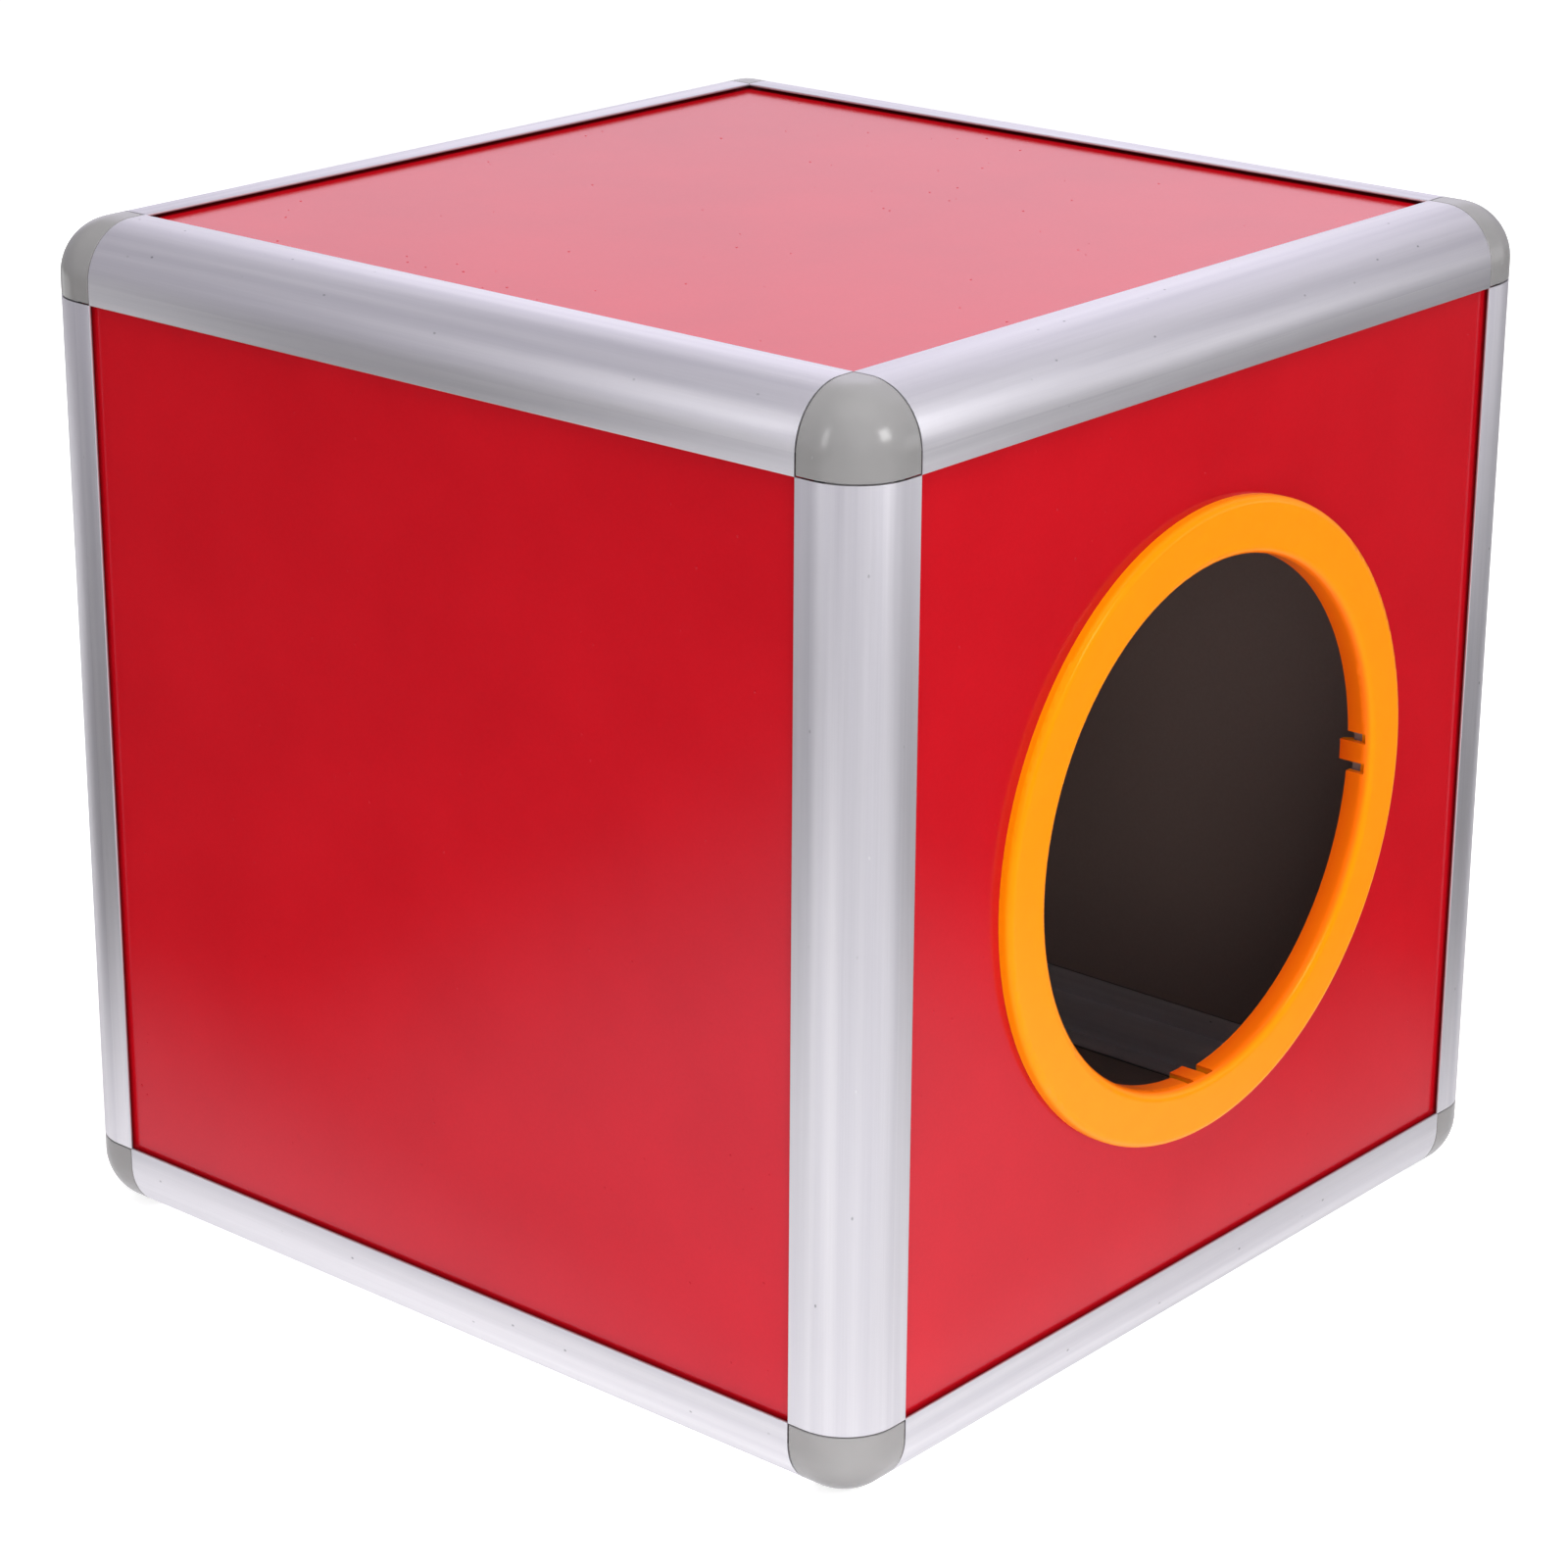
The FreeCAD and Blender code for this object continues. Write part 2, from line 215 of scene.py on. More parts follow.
def section_mesh():
    """The section's face. Each point knows how far round its loop it lies, and its slot."""
    mesh = bmesh.new()
    travelled = mesh.verts.layers.float.new("round")
    slotted = mesh.verts.layers.float.new("slot")
    for loop in section_loops():
        points = [mesh.verts.new((point.x, point.y, 0)) for point in loop]
        for point, vertex in zip(loop, points):
            vertex[slotted] = in_a_slot(point)
        for before, point in zip(points, points[1:]):
            point[travelled] = before[travelled] + (point.co - before.co).length
        for before, point in zip(points, points[1:] + points[:1]):
            mesh.edges.new((before, point))
    bmesh.ops.triangle_fill(mesh, use_beauty=True, use_dissolve=False,
                            edges=mesh.edges[:], normal=(0, 0, 1))
    bmesh.ops.recalc_face_normals(mesh, faces=mesh.faces[:])
    if mesh.faces[:][0].normal.z < 0:
        bmesh.ops.reverse_faces(mesh, faces=mesh.faces[:])
    face = bpy.data.meshes.new("profile_section")
    mesh.to_mesh(face)
    mesh.free()
    return face


# The press: it pushes the section out to a length, closes the near end, and stores "drawn"
# on each point.
press = bpy.data.node_groups.new("extrusion_press", "GeometryNodeTree")
for name, kind in (("Section", "Geometry"), ("Length", "Float"), ("Number", "Float"),
                   ("Finish", "Material")):
    press.interface.new_socket(name, in_out="INPUT", socket_type="NodeSocket" + kind)
press.interface.new_socket("Profile", in_out="OUTPUT", socket_type="NodeSocketGeometry")
weld_distance = 0.001 * mm
given = add(press, "NodeGroupInput")
push = add(press, "ShaderNodeCombineXYZ", {"Z": given.outputs["Length"]})
pressed = add(press, "GeometryNodeExtrudeMesh", {"Mesh": given.outputs["Section"],
              "Offset": push.outputs[0], "Individual": False}, mode="FACES")
near_end = add(press, "GeometryNodeFlipFaces", {"Mesh": given.outputs["Section"]})
both = add(press, "GeometryNodeJoinGeometry")
press.links.new(near_end.outputs[0], both.inputs[0])
press.links.new(pressed.outputs["Mesh"], both.inputs[0])
closed = add(press, "GeometryNodeMergeByDistance", {"Geometry": both.outputs[0],
             "Distance": weld_distance})
around = add(press, "GeometryNodeInputNamedAttribute", {"Name": "round"},
             data_type="FLOAT")
where = add(press, "GeometryNodeInputPosition")
along = add(press, "ShaderNodeSeparateXYZ", {0: where.outputs[0]})
place = add(press, "ShaderNodeCombineXYZ", {"X": around.outputs["Attribute"],
            "Y": along.outputs["Z"], "Z": given.outputs["Number"]})
stored = add(press, "GeometryNodeStoreNamedAttribute", {"Geometry": closed.outputs[0],
             "Name": "drawn", "Value": place.outputs[0]}, data_type="FLOAT_VECTOR",
             domain="POINT")
real = add(press, "GeometryNodeRealizeInstances", {0: stored.outputs[0]})
finished = add(press, "GeometryNodeSetMaterial", {"Geometry": real.outputs[0],
               "Material": given.outputs["Finish"]})
add(press, "NodeGroupOutput", {0: finished.outputs[0]})


def use_tree(piece, tree, values):
    """Put a Geometry Nodes tree on a piece and set its named inputs."""
    modifier = piece.modifiers.new(tree.name, "NODES")
    modifier.node_group = tree
    for socket in tree.interface.items_tree:
        if socket.name in values:
            modifier[socket.identifier] = values[socket.name]


def settle(piece, place):
    """Turn what a piece's modifiers make into its plain mesh, moved to its place."""
    graph = bpy.context.evaluated_depsgraph_get()
    mesh = bpy.data.meshes.new_from_object(piece.evaluated_get(graph), depsgraph=graph)
    mesh.transform(place)
    piece.modifiers.clear()
    piece.data = mesh


# Each run is the axis its four lengths lie along, the turn that lays an upright down on
# that axis, and its edges in the order that quarter turns round the axis reach them.
runs = (
    ("Z", Matrix.Identity(4), ("upright_front_left", "upright_front_right",
                               "upright_back_right", "upright_back_left")),
    ("X", Matrix.Rotation(quarter, 4, "Y"), ("top_front", "bottom_front",
                                             "bottom_back", "top_back")),
    ("Y", Matrix.Rotation(quarter, 4, "X"), ("bottom_left", "top_left",
                                             "top_right", "bottom_right")),
)
pattern_step = 7.3              # what sets the patterns of two lengths apart
bevelled_from = math.radians(50)
smooth_up_to = math.radians(35)
section = section_mesh()
first_place = Matrix.Translation((-half_side, -half_side, -profile_length / 2))
number = 0
for axis, laid_down, edges in runs:
    for step, edge in enumerate(edges):
        number += 1
        profile = bpy.data.objects.new("extrusion_" + edge, section)
        bpy.context.scene.collection.objects.link(profile)
        use_tree(profile, press, {"Length": profile_length,
                                  "Number": number * pattern_step, "Finish": anodised})
        edge_break = profile.modifiers.new("deburring", "BEVEL")
        edge_break.width = sawn_edge_break
        edge_break.segments = 2
        edge_break.limit_method = "ANGLE"
        edge_break.angle_limit = bevelled_from
        turn = Matrix.Rotation(quarter * step, 4, axis) @ laid_down
        settle(profile, Matrix.Translation(box_centre) @ turn @ first_place)
        profile.data.shade_smooth()
        profile.data.set_sharp_from_angle(angle=smooth_up_to)
        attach(profile, "root")
        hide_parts("profile_" + edge)


# ---------------------------------------------------------------- corners
# Eight three-way corners, injection moulded in grey ABS in one tool with a spark-eroded
# texture. Three tongues plug into the hollows of the profiles that meet there.

# Grey ABS from an eroded tool: a neutral mid grey, clouded a little where the melt ran,
# with a clear but soft gloss that the grain breaks up.
corner_plastic, tree = new_material("abs_grey_moulded")
grain = 0.45 * mm               # the eroded texture, as coarse as shows
cloud_size = 14 * mm
place = add(tree, "ShaderNodeTexCoord")
grains = add(tree, "ShaderNodeTexNoise", {"Vector": place.outputs["Object"],
             "Scale": 1 / grain, "Detail": 2})
clouds = add(tree, "ShaderNodeTexNoise", {"Vector": place.outputs["Object"],
             "Scale": 1 / cloud_size, "Detail": 2})
tone = add(tree, "ShaderNodeMix", {0: clouds.outputs["Fac"], 6: linear("868585"),
           7: linear("918f8f")}, data_type="RGBA")
roughness = add(tree, "ShaderNodeMapRange", {"Value": grains.outputs["Fac"],
                "To Min": 0.17, "To Max": 0.22})
relief = add(tree, "ShaderNodeBump", {"Height": grains.outputs["Fac"],
             "Strength": 0.12, "Distance": 0.02 * mm})
shader = add(tree, "ShaderNodeBsdfPrincipled", {"Base Color": tone.outputs[2],
             "Roughness": roughness.outputs[0], "IOR": 1.54,
             "Normal": relief.outputs[0]})
add(tree, "ShaderNodeOutputMaterial", {"Surface": shader.outputs[0]})

for name, node in nodes.items():
    if name.startswith("corner_"):
        node.material_slots[0].material = corner_plastic


# ---------------------------------------------------------------- boards
# Six boards of 3 mm hardboard, sawn square and held loose in the slots of the profiles.
# A red PVC film is laminated on the outside; the inside is the bare dark sheet.

# Red PVC film on hardboard: a deep red with a wet gloss, whose reflections waver because
# the film follows the sheet's pebbled face. The bare side is a dull brown.
film_board, tree = new_material("hardboard_red_pvc_film")
film_depth = 2 * mm             # from the box's outside, between the board's two faces
pebble = 0.9 * mm
cloud_size = 35 * mm
pebble_share = 0.35             # of the red's mottling; the clouds give the rest
place = add(tree, "ShaderNodeTexCoord")
from_centre = add(tree, "ShaderNodeVectorMath", {0: place.outputs["Object"],
                  1: box_centre}, operation="SUBTRACT")
distances = add(tree, "ShaderNodeVectorMath", {0: from_centre.outputs[0]},
                operation="ABSOLUTE")
each = add(tree, "ShaderNodeSeparateXYZ", {0: distances.outputs[0]})
wider = add(tree, "ShaderNodeMath", {0: each.outputs["X"], 1: each.outputs["Y"]},
            operation="MAXIMUM")
widest = add(tree, "ShaderNodeMath", {0: wider.outputs[0], 1: each.outputs["Z"]},
             operation="MAXIMUM")
film = add(tree, "ShaderNodeMath", {0: widest.outputs[0], 1: half_side - film_depth},
           operation="GREATER_THAN")
pebbles = add(tree, "ShaderNodeTexNoise", {"Vector": place.outputs["Object"],
              "Scale": 1 / pebble, "Detail": 2})
clouds = add(tree, "ShaderNodeTexNoise", {"Vector": place.outputs["Object"],
             "Scale": 1 / cloud_size, "Detail": 2})
mottled = add(tree, "ShaderNodeMix", {0: pebble_share, 2: clouds.outputs["Fac"],
              3: pebbles.outputs["Fac"]})
red = add(tree, "ShaderNodeMix", {0: mottled.outputs[0], 6: linear("b30714"),
          7: linear("cb101d")}, data_type="RGBA")
bare = add(tree, "ShaderNodeMix", {0: pebbles.outputs["Fac"], 6: linear("8c7771"),
           7: linear("96817a")}, data_type="RGBA")
colour = add(tree, "ShaderNodeMix", {0: film.outputs[0], 6: bare.outputs[2],
             7: red.outputs[2]}, data_type="RGBA")
roughness = add(tree, "ShaderNodeMapRange", {"Value": film.outputs[0],
                "To Min": 0.7, "To Max": 0.16})
relief = add(tree, "ShaderNodeBump", {"Height": pebbles.outputs["Fac"],
             "Strength": 0.3, "Distance": 0.04 * mm})
shader = add(tree, "ShaderNodeBsdfPrincipled", {"Base Color": colour.outputs[2],
             "Roughness": roughness.outputs[0], "IOR": 1.5,
             "Specular IOR Level": 0.5, "Specular Tint": (0.62, 0.72, 1.0, 1.0),
             "Normal": relief.outputs[0]})
add(tree, "ShaderNodeOutputMaterial", {"Surface": shader.outputs[0]})

for name, node in nodes.items():
    if name.startswith("panel_"):
        node.material_slots[0].material = film_board

# Grains of dust that were laminated in stand up under the film as little round nibs. This
# tree scatters them over a board, and leaves out those that would fall in its hole.
dusting = bpy.data.node_groups.new("dust_under_film", "GeometryNodeTree")
for name, kind in (("Side", "Float"), ("Count", "Float"), ("Seed", "Int"),
                   ("Smallest", "Float"), ("Largest", "Float"), ("Hole Rise", "Float"),
                   ("Hole Radius", "Float"), ("Finish", "Material")):
    dusting.interface.new_socket(name, in_out="INPUT", socket_type="NodeSocket" + kind)
dusting.interface.new_socket("Nibs", in_out="OUTPUT", socket_type="NodeSocketGeometry")
nib_height_share = 0.35         # of its radius, as the film flattens it
given = add(dusting, "NodeGroupInput")
sheet = add(dusting, "GeometryNodeMeshGrid", {"Size X": given.outputs["Side"],
            "Size Y": given.outputs["Side"], "Vertices X": 2, "Vertices Y": 2})
area = add(dusting, "ShaderNodeMath", {0: given.outputs["Side"],
           1: given.outputs["Side"]}, operation="MULTIPLY")
density = add(dusting, "ShaderNodeMath", {0: given.outputs["Count"],
              1: area.outputs[0]}, operation="DIVIDE")
fallen = add(dusting, "GeometryNodeDistributePointsOnFaces", {
             "Mesh": sheet.outputs["Mesh"], "Density": density.outputs[0],
             "Seed": given.outputs["Seed"]})
spot = add(dusting, "GeometryNodeInputPosition")
hole_centre = add(dusting, "ShaderNodeCombineXYZ", {"Y": given.outputs["Hole Rise"]})
off_hole = add(dusting, "ShaderNodeVectorMath", {0: spot.outputs[0],
               1: hole_centre.outputs[0]}, operation="DISTANCE")
in_hole = add(dusting, "ShaderNodeMath", {0: off_hole.outputs["Value"],
              1: given.outputs["Hole Radius"]}, operation="LESS_THAN")
kept = add(dusting, "GeometryNodeDeleteGeometry", {"Geometry": fallen.outputs["Points"],
           "Selection": in_hole.outputs[0]}, domain="POINT")
ball = add(dusting, "GeometryNodeMeshIcoSphere", {"Radius": 1.0, "Subdivisions": 2})
size = add(dusting, "FunctionNodeRandomValue", {2: given.outputs["Smallest"],
           3: given.outputs["Largest"], "Seed": given.outputs["Seed"]},
           data_type="FLOAT")
height = add(dusting, "ShaderNodeMath", {0: size.outputs[1], 1: nib_height_share},
             operation="MULTIPLY")
flattened = add(dusting, "ShaderNodeCombineXYZ", {"X": size.outputs[1],
                "Y": size.outputs[1], "Z": height.outputs[0]})
scattered = add(dusting, "GeometryNodeInstanceOnPoints", {"Points": kept.outputs[0],
                "Instance": ball.outputs["Mesh"], "Scale": flattened.outputs[0]})
real = add(dusting, "GeometryNodeRealizeInstances", {0: scattered.outputs[0]})
finished = add(dusting, "GeometryNodeSetMaterial", {"Geometry": real.outputs[0],
               "Material": given.outputs["Finish"]})
add(dusting, "NodeGroupOutput", {0: finished.outputs[0]})

# The ring covers the front board out to its flange, so no nib falls inside that. The
# bottom board has none, because it faces the table.
ring_low, ring_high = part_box("hand_hole_ring")
ring_centre = (ring_low + ring_high) / 2
flange_radius = (ring_high.x - ring_low.x) / 2
open_side = 2 * (half_side - frame_reach)
nibs_per_board = 90.0
smallest_nib = 0.12 * mm        # radii
largest_nib = 0.4 * mm
first_seed = 11
empty_mesh = bpy.data.meshes.new("bare")
upright = Matrix.Rotation(quarter, 4, "X")
for seed, (side, turn) in enumerate((
        ("front", upright),
        ("left", Matrix.Rotation(-quarter, 4, "Z") @ upright),
        ("right", Matrix.Rotation(quarter, 4, "Z") @ upright),
        ("back", Matrix.Rotation(2 * quarter, 4, "Z") @ upright),
        ("top", Matrix.Identity(4))), start=first_seed):
    low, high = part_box("panel_" + side)
    outwards = turn.col[2].xyz
    film_face = max(outwards.dot(low - box_centre), outwards.dot(high - box_centre))
    nibs = bpy.data.objects.new("film_nibs_" + side, empty_mesh)
    bpy.context.scene.collection.objects.link(nibs)
    use_tree(nibs, dusting, {"Side": open_side, "Count": nibs_per_board, "Seed": seed,
                             "Smallest": smallest_nib, "Largest": largest_nib,
                             "Hole Rise": ring_centre.z - box_centre.z,
                             "Hole Radius": flange_radius if side == "front" else 0.0,
                             "Finish": film_board})
    on_film = Matrix.Translation((0, 0, film_face))
    settle(nibs, Matrix.Translation(box_centre) @ turn @ on_film)
    nibs.data.shade_smooth()
    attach(nibs, "root")


# ---------------------------------------------------------------- hand hole ring
# One ring, injection moulded in orange polypropylene. Its flange lies on the front board,
# and four snap tabs on its sleeve hold it from behind.

# Orange polypropylene from a polished tool: a bright orange with a smooth gloss, a little
# uneven where the melt ran. The sleeve is painted redder and deeper towards the back:
# painted bounce light, where orange would light orange.
ring_plastic, tree = new_material("polypropylene_orange_moulded")
ripple_size = 5 * mm
bore_edge = 75.2 * mm           # the flange's face goes over into the sleeve between these
face_edge = 76.6 * mm
sleeve_front = 3 * mm           # depths behind the flange's face
sleeve_back = 11 * mm
place = add(tree, "ShaderNodeTexCoord")
ripple = add(tree, "ShaderNodeTexNoise", {"Vector": place.outputs["Object"],
             "Scale": 1 / ripple_size, "Detail": 2})
face = add(tree, "ShaderNodeMix", {0: ripple.outputs["Fac"], 6: linear("fc8f03"),
           7: linear("ff9404")}, data_type="RGBA")
off_axis = add(tree, "ShaderNodeVectorMath", {0: place.outputs["Object"],
               1: ring_centre}, operation="SUBTRACT")
flat = add(tree, "ShaderNodeVectorMath", {0: off_axis.outputs[0], 1: (1, 0, 1)},
           operation="MULTIPLY")
radius = add(tree, "ShaderNodeVectorMath", {0: flat.outputs[0]}, operation="LENGTH")
in_bore = add(tree, "ShaderNodeMapRange", {"Value": radius.outputs["Value"],
              "From Min": bore_edge, "From Max": face_edge, "To Min": 1.0,
              "To Max": 0.0}, interpolation_type="SMOOTHSTEP")
axes = add(tree, "ShaderNodeSeparateXYZ", {0: place.outputs["Object"]})
depth = add(tree, "ShaderNodeMapRange", {"Value": axes.outputs["Y"],
            "From Min": ring_low.y + sleeve_front,
            "From Max": ring_low.y + sleeve_back})
# Painted bounce light: the sleeve's orange is painted redder and deeper with depth.
sleeve = add(tree, "ShaderNodeMix", {0: depth.outputs[0], 6: linear("ff710a"),
             7: linear("e24c08")}, data_type="RGBA")
tone = add(tree, "ShaderNodeMix", {0: in_bore.outputs[0], 6: face.outputs[2],
           7: sleeve.outputs[2]}, data_type="RGBA")
relief = add(tree, "ShaderNodeBump", {"Height": ripple.outputs["Fac"],
             "Strength": 0.1, "Distance": 0.05 * mm})
shader = add(tree, "ShaderNodeBsdfPrincipled", {"Base Color": tone.outputs[2],
             "Roughness": 0.22, "IOR": 1.49,
             "Specular IOR Level": 0.35, "Specular Tint": (1.0, 0.62, 0.2, 1.0),
             "Normal": relief.outputs[0]})
add(tree, "ShaderNodeOutputMaterial", {"Surface": shader.outputs[0]})
nodes["hand_hole_ring"].material_slots[0].material = ring_plastic


# ---------------------------------------------------------------- stage
# A white table top that goes over into a white background, with the studio's lamps. The
# table keeps the box's shadow.

stage_size = 12.0
half_stage = stage_size / 2
floor_mesh = bpy.data.meshes.new("floor")
floor_mesh.from_pydata([(-half_stage, -half_stage, 0), (half_stage, -half_stage, 0),
                        (half_stage, half_stage, 0), (-half_stage, half_stage, 0)],
                       [], [(0, 1, 2, 3)])
floor = bpy.data.objects.new("floor", floor_mesh)
bpy.context.scene.collection.objects.link(floor)

# White lacquered table top: plain matt white to the eye, with soft shadows. Metal and film
# mirror a painted glow instead: a brightness painted by place, with 1 for white. Lengths are
# in metres from the middle of the box's foot: "near" towards the eye, "leftwards" across.
table_top, tree = new_material("white_table_top")
towards_eye = Vector((-0.7071, -0.7071, 0))
lacquer = (0.9, 0.9, 0.9, 1)
glow_to_eye = 0.7               # with the lamps' light on the lacquer it makes white
pool_start = 0.3                # the pool's sides spread from this far behind the middle
pool_peak = 0.35                # it is brightest this far in front
least_ahead = 0.05              # keeps what is divided by away from zero
foot_fade = 0.17                # the white round the box's foot fades out over this
rays = add(tree, "ShaderNodeLightPath")
place = add(tree, "ShaderNodeTexCoord")
near = add(tree, "ShaderNodeVectorMath", {0: place.outputs["Object"], 1: towards_eye},
           operation="DOT_PRODUCT")
leftwards = add(tree, "ShaderNodeVectorMath", {0: place.outputs["Object"],
                1: towards_eye.cross(Vector((0, 0, 1)))}, operation="DOT_PRODUCT")

# A painted pool of light in front of the box, seen in reflections, which fades to its sides
# and away from its peak.
beside = add(tree, "ShaderNodeMath", {0: leftwards.outputs["Value"]},
             operation="ABSOLUTE")
nearness = add(tree, "ShaderNodeMath", {0: near.outputs["Value"], 1: pool_start},
               operation="ADD")
ahead = add(tree, "ShaderNodeMath", {0: nearness.outputs[0], 1: least_ahead},
            operation="MAXIMUM")
turned_away = add(tree, "ShaderNodeMath", {0: beside.outputs[0], 1: ahead.outputs[0]},
                  operation="DIVIDE")
across = add(tree, "ShaderNodeMapRange", {"Value": turned_away.outputs[0],
             "From Min": 0.6, "From Max": 1.2, "To Min": 1.0, "To Max": 0.05},
             interpolation_type="SMOOTHSTEP")
rising = add(tree, "ShaderNodeMapRange", {"Value": near.outputs["Value"],
             "From Min": 0.0, "From Max": pool_peak, "To Min": 0.4, "To Max": 1.0},
             interpolation_type="SMOOTHSTEP")
falling = add(tree, "ShaderNodeMapRange", {"Value": near.outputs["Value"],
              "From Min": pool_peak, "From Max": 1.0, "To Min": 0.97, "To Max": 0.52},
              interpolation_type="SMOOTHSTEP")
lengthwise = add(tree, "ShaderNodeMath", {0: rising.outputs[0],
                 1: falling.outputs[0]}, operation="MULTIPLY")
pool = add(tree, "ShaderNodeMath", {0: across.outputs[0], 1: lengthwise.outputs[0]},
           operation="MULTIPLY")

# Painted light close round the foot: white, and weaker to the right.
from_middle = add(tree, "ShaderNodeVectorMath", {0: place.outputs["Object"]},
                  operation="ABSOLUTE")
each = add(tree, "ShaderNodeSeparateXYZ", {0: from_middle.outputs[0]})
outside = add(tree, "ShaderNodeMath", {0: each.outputs["X"], 1: each.outputs["Y"]},
              operation="MAXIMUM")
at_foot = add(tree, "ShaderNodeMapRange", {"Value": outside.outputs[0],
              "From Min": half_side, "From Max": half_side + foot_fade,
              "To Min": 1.0, "To Max": 0.0}, interpolation_type="SMOOTHSTEP")
less_right = add(tree, "ShaderNodeMapRange", {"Value": leftwards.outputs["Value"],
                 "From Min": 0.0, "From Max": -0.3, "To Min": 1.0, "To Max": 0.52},
                 interpolation_type="SMOOTHSTEP")
foot = add(tree, "ShaderNodeMath", {0: at_foot.outputs[0], 1: less_right.outputs[0]},
           operation="MULTIPLY")

# Further back the painted glow is dim, except in the quarter of the table right behind the
# box, which lights the back sides in reflections.
behind = add(tree, "ShaderNodeMapRange", {"Value": near.outputs["Value"],
             "From Min": 0.0, "From Max": -0.6, "To Min": 0.04, "To Max": 0.22},
             interpolation_type="SMOOTHSTEP")
ground = add(tree, "ShaderNodeSeparateXYZ", {0: place.outputs["Object"]})
side_behind = add(tree, "ShaderNodeMath", {0: ground.outputs["X"],
                  1: ground.outputs["Y"]}, operation="MINIMUM")
at_back = add(tree, "ShaderNodeMapRange", {"Value": side_behind.outputs[0],
              "From Min": -0.24, "From Max": -0.14, "To Min": 0.0, "To Max": 1.0},
              interpolation_type="SMOOTHSTEP")
farther = add(tree, "ShaderNodeMapRange", {"Value": outside.outputs[0],
              "From Min": 0.3, "From Max": 1.0, "To Min": 0.9, "To Max": 0.42},
              interpolation_type="SMOOTHSTEP")
back_light = add(tree, "ShaderNodeMath", {0: at_back.outputs[0],
                 1: farther.outputs[0]}, operation="MULTIPLY")
behind_box = add(tree, "ShaderNodeMath", {0: behind.outputs[0],
                 1: back_light.outputs[0]}, operation="MAXIMUM")

pool_or_back = add(tree, "ShaderNodeMath", {0: pool.outputs[0],
                   1: behind_box.outputs[0]}, operation="MAXIMUM")
brightness = add(tree, "ShaderNodeMath", {0: pool_or_back.outputs[0],
                 1: foot.outputs[0]}, operation="MAXIMUM")
mirrored = add(tree, "ShaderNodeMath", {0: rays.outputs["Is Glossy Ray"],
               1: rays.outputs["Is Transmission Ray"]}, operation="MAXIMUM")
to_eye = add(tree, "ShaderNodeMath", {0: rays.outputs["Is Camera Ray"],
             1: glow_to_eye}, operation="MULTIPLY")
paint = add(tree, "ShaderNodeBsdfDiffuse", {"Color": lacquer})
white = add(tree, "ShaderNodeEmission", {"Color": (1, 1, 1, 1),
            "Strength": to_eye.outputs[0]})
lit_paint = add(tree, "ShaderNodeAddShader", {0: paint.outputs[0], 1: white.outputs[0]})
reflected_painted_glow = add(tree, "ShaderNodeEmission", {"Color": (1.0, 0.99, 1.02, 1),
            "Strength": brightness.outputs[0]})
surface = add(tree, "ShaderNodeMixShader", {0: mirrored.outputs[0],
              1: lit_paint.outputs[0], 2: reflected_painted_glow.outputs[0]})
add(tree, "ShaderNodeOutputMaterial", {"Surface": surface.outputs[0]})
floor_mesh.materials.append(table_top)

# The eye sees plain white all round. Reflections see a cool white backdrop that stands
# behind the box, a lit patch of ceiling, and a dimmer room beside them. Matt surfaces get a
# low even light from all sides.
world = bpy.data.worlds.new("studio")
world.use_nodes = True
bpy.context.scene.world = world
tree = world.node_tree
tree.nodes.clear()
backdrop_direction = Vector((0.686, 0.676, 0.27))
ceiling_direction = Vector((0.70, 0.28, 0.66))
all_round = 0.25
rays = add(tree, "ShaderNodeLightPath")
direction = add(tree, "ShaderNodeTexCoord")
to_backdrop = add(tree, "ShaderNodeVectorMath", {0: direction.outputs["Generated"],
                  1: backdrop_direction}, operation="DOT_PRODUCT")
wide = add(tree, "ShaderNodeMapRange", {"Value": to_backdrop.outputs["Value"],
           "From Min": 0.60, "From Max": 0.88, "To Min": 0.36, "To Max": 0.44},
           interpolation_type="SMOOTHSTEP")
narrow = add(tree, "ShaderNodeMapRange", {"Value": to_backdrop.outputs["Value"],
             "From Min": 0.88, "From Max": 0.98, "To Min": 0.0, "To Max": 0.52},
             interpolation_type="SMOOTHSTEP")
backdrop = add(tree, "ShaderNodeMath", {0: wide.outputs[0], 1: narrow.outputs[0]},
               operation="ADD")
to_ceiling = add(tree, "ShaderNodeVectorMath", {0: direction.outputs["Generated"],
                 1: ceiling_direction}, operation="DOT_PRODUCT")
overhead = add(tree, "ShaderNodeMapRange", {"Value": to_ceiling.outputs["Value"],
               "From Min": 0.82, "From Max": 0.95, "To Min": 0.0, "To Max": 0.38},
               interpolation_type="SMOOTHSTEP")
room = add(tree, "ShaderNodeMath", {0: backdrop.outputs[0], 1: overhead.outputs[0]},
           operation="ADD")
mirrored = add(tree, "ShaderNodeMath", {0: rays.outputs["Is Glossy Ray"],
               1: rays.outputs["Is Transmission Ray"]}, operation="MAXIMUM")
unseen = add(tree, "ShaderNodeMix", {0: mirrored.outputs[0], 2: all_round,
             3: room.outputs[0]})
strength = add(tree, "ShaderNodeMix", {0: rays.outputs["Is Camera Ray"],
               2: unseen.outputs[0], 3: 1.0})
tint = add(tree, "ShaderNodeMix", {0: mirrored.outputs[0], 6: (1, 1, 1, 1),
           7: (1.0, 0.955, 1.10, 1)}, data_type="RGBA")
sky = add(tree, "ShaderNodeBackground", {"Color": tint.outputs[2],
          "Strength": strength.outputs[0]})
add(tree, "ShaderNodeOutputWorld", {"Surface": sky.outputs[0]})


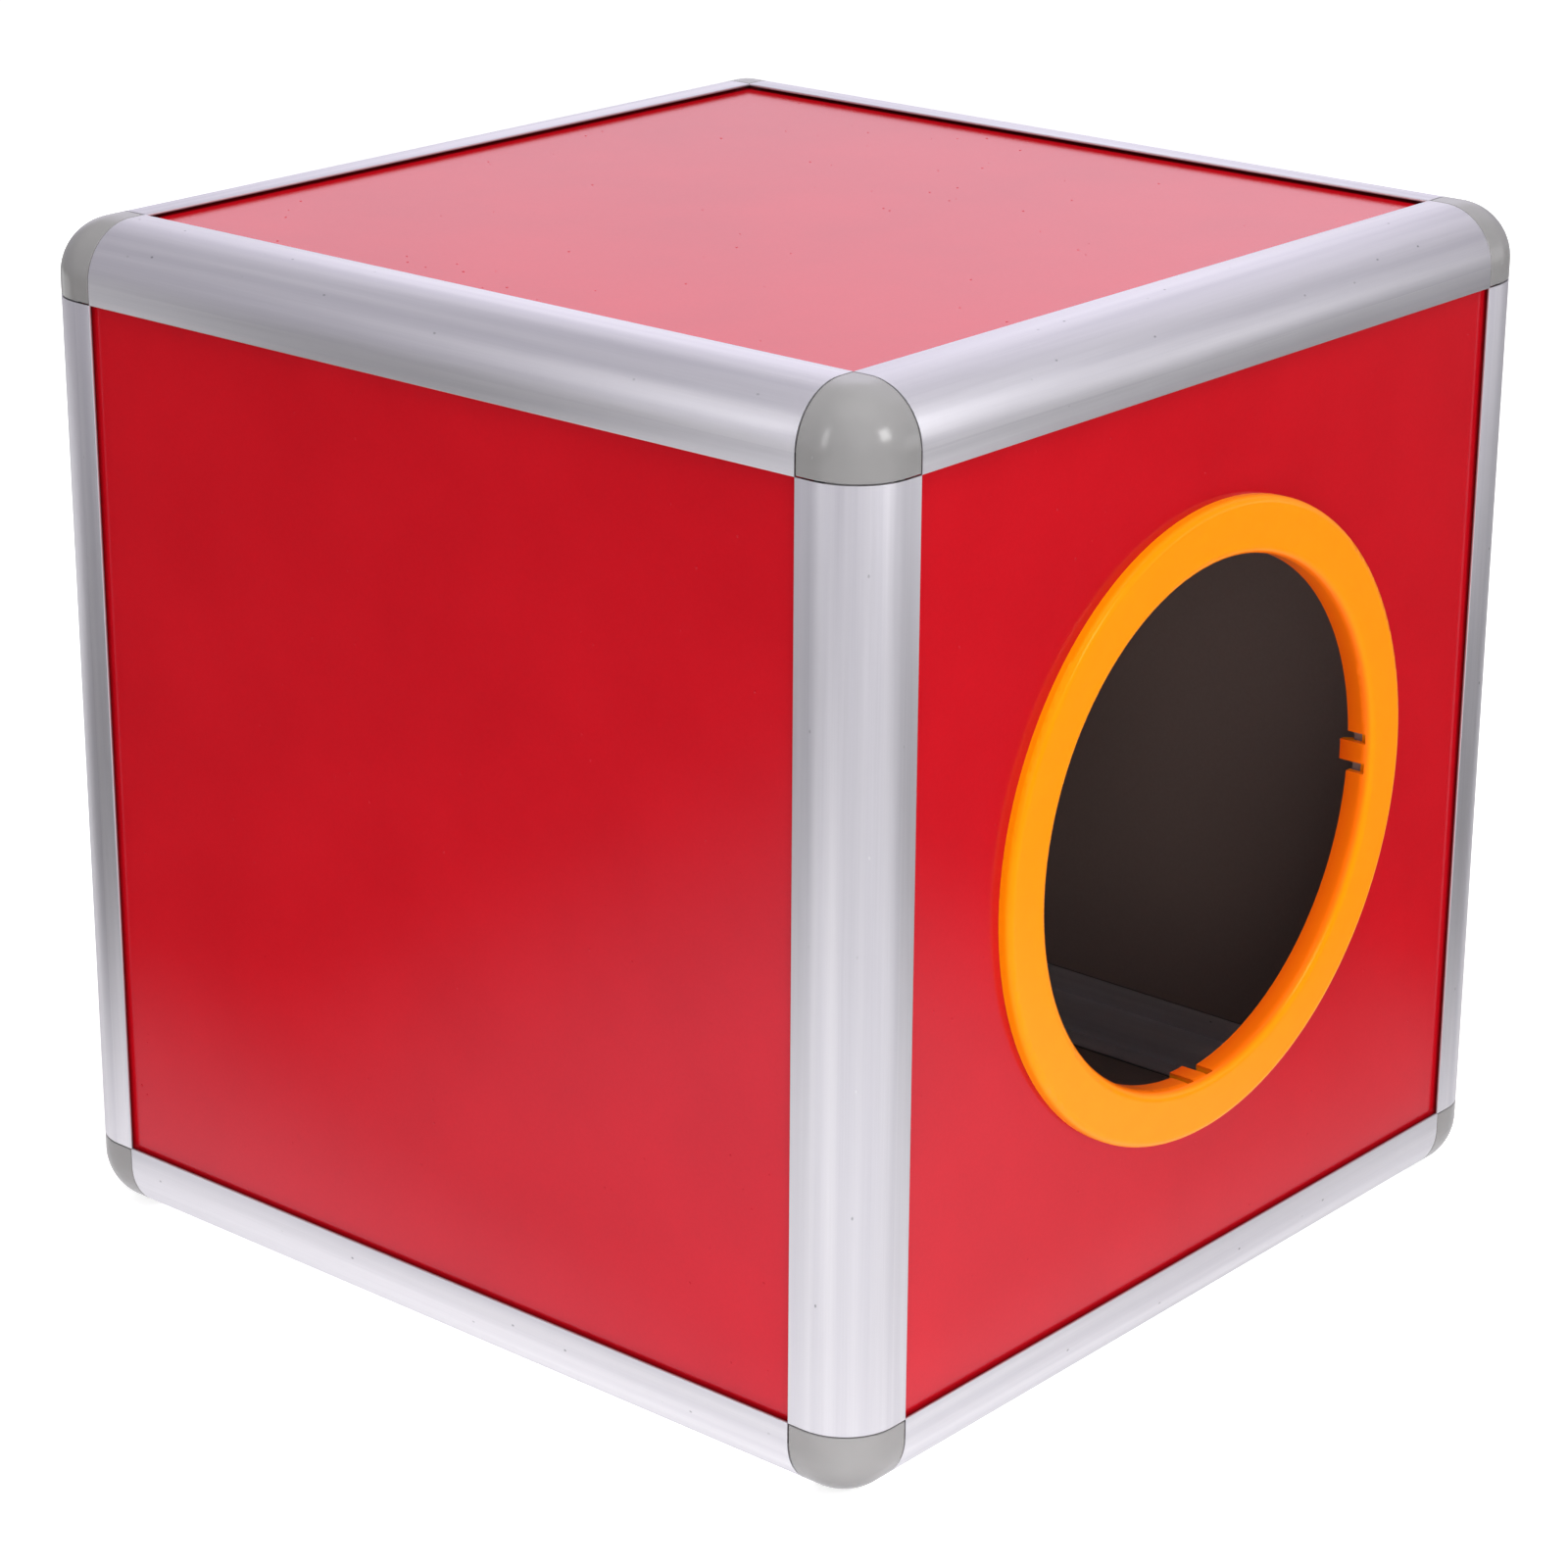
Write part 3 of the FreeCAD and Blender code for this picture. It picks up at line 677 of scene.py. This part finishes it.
def lamp(name, place, towards, width, height, radiance, in_reflections=False):
    """A flat lamp that isn't seen itself, at a place and shining towards a direction."""
    light = bpy.data.lights.new(name, "AREA")
    light.shape = "RECTANGLE"
    light.size = width
    light.size_y = height
    light.energy = radiance * math.pi * width * height
    holder = bpy.data.objects.new(name, light)
    holder.location = place
    holder.rotation_euler = Vector(towards).to_track_quat("-Z", "Y").to_euler()
    holder.visible_camera = False
    holder.visible_glossy = in_reflections
    bpy.context.scene.collection.objects.link(holder)


def softbox(name, direction, distance, width, height, radiance, in_reflections=True):
    """A soft lamp that hangs in a direction from the box and faces it."""
    outwards = Vector(direction).normalized()
    lamp(name, box_centre + outwards * distance, -outwards, width, height, radiance,
         in_reflections)


# Direction from the box, distance, width, height and radiance.
softbox("softbox_right", (0.02, -0.885, 0.465), 1.8, 0.55, 0.5, 8.0)
softbox("softbox_left", (-0.904, 0.181, 0.386), 1.8, 0.24, 0.8, 4.2)
softbox("softbox_front", (-0.8, -0.8, 0.65), 1.3, 0.8, 0.8, 0.4)
softbox("reflector_low", (0.75, -0.66, 0.1), 1.6, 0.8, 0.4, 0.8)
softbox("fill_above", (-0.15, -0.2, 1), 1.6, 1.4, 1.4, 4.1, in_reflections=False)
softbox("fill_front", (-0.66, -0.74, 0.22), 1.4, 0.8, 0.5, 2.6, in_reflections=False)
softbox("fill_back", (0.66, 0.74, 0.22), 1.4, 0.8, 0.5, 2.6, in_reflections=False)
# The table shines brightest close to the box, so its light comes up from all sides. The
# far left lamp shines forwards onto the back left upright. These are place, direction,
# width, height and radiance.
lamp("table_left", (-0.28, -0.13, 0.004), (0, 0, 1), 0.26, 0.56, 0.65)
lamp("table_right", (0.0, -0.28, 0.004), (0, 0, 1), 0.3, 0.26, 0.55)
lamp("table_far_left", (-0.2, 0.72, 0.1), (0.15, -1, 0), 0.4, 0.2, 0.8,
     in_reflections=True)
lamp("table_near", (-0.21, -0.21, 0.002), (0, 0, 1), 0.12, 0.12, 1.3)


# ---------------------------------------------------------------- camera
# A long lens, 1.3 m from the box and higher than it. It looks down by 20 degrees at the
# box's front left upright.

camera_place = Vector((-0.91491, -0.77736, 0.56722))
camera_azimuth = math.radians(-49.562)
camera_elevation = math.radians(20.129)
camera_roll = math.radians(0.369)
back = Vector((math.sin(camera_azimuth) * math.cos(camera_elevation),
               -math.cos(camera_azimuth) * math.cos(camera_elevation),
               math.sin(camera_elevation)))
right = Vector((0, 0, 1)).cross(back).normalized()
up = back.cross(right)
level = Matrix((right, up, back)).transposed().to_4x4()
lens = bpy.data.cameras.new("camera")
lens.lens = 99.48
lens.sensor_width = 36.0
camera = bpy.data.objects.new("camera", lens)
camera.matrix_world = (Matrix.Translation(camera_place) @ level
                       @ Matrix.Rotation(camera_roll, 4, "Z"))
bpy.context.scene.collection.objects.link(camera)
bpy.context.scene.camera = camera

bpy.context.scene.view_settings.view_transform = "Standard"
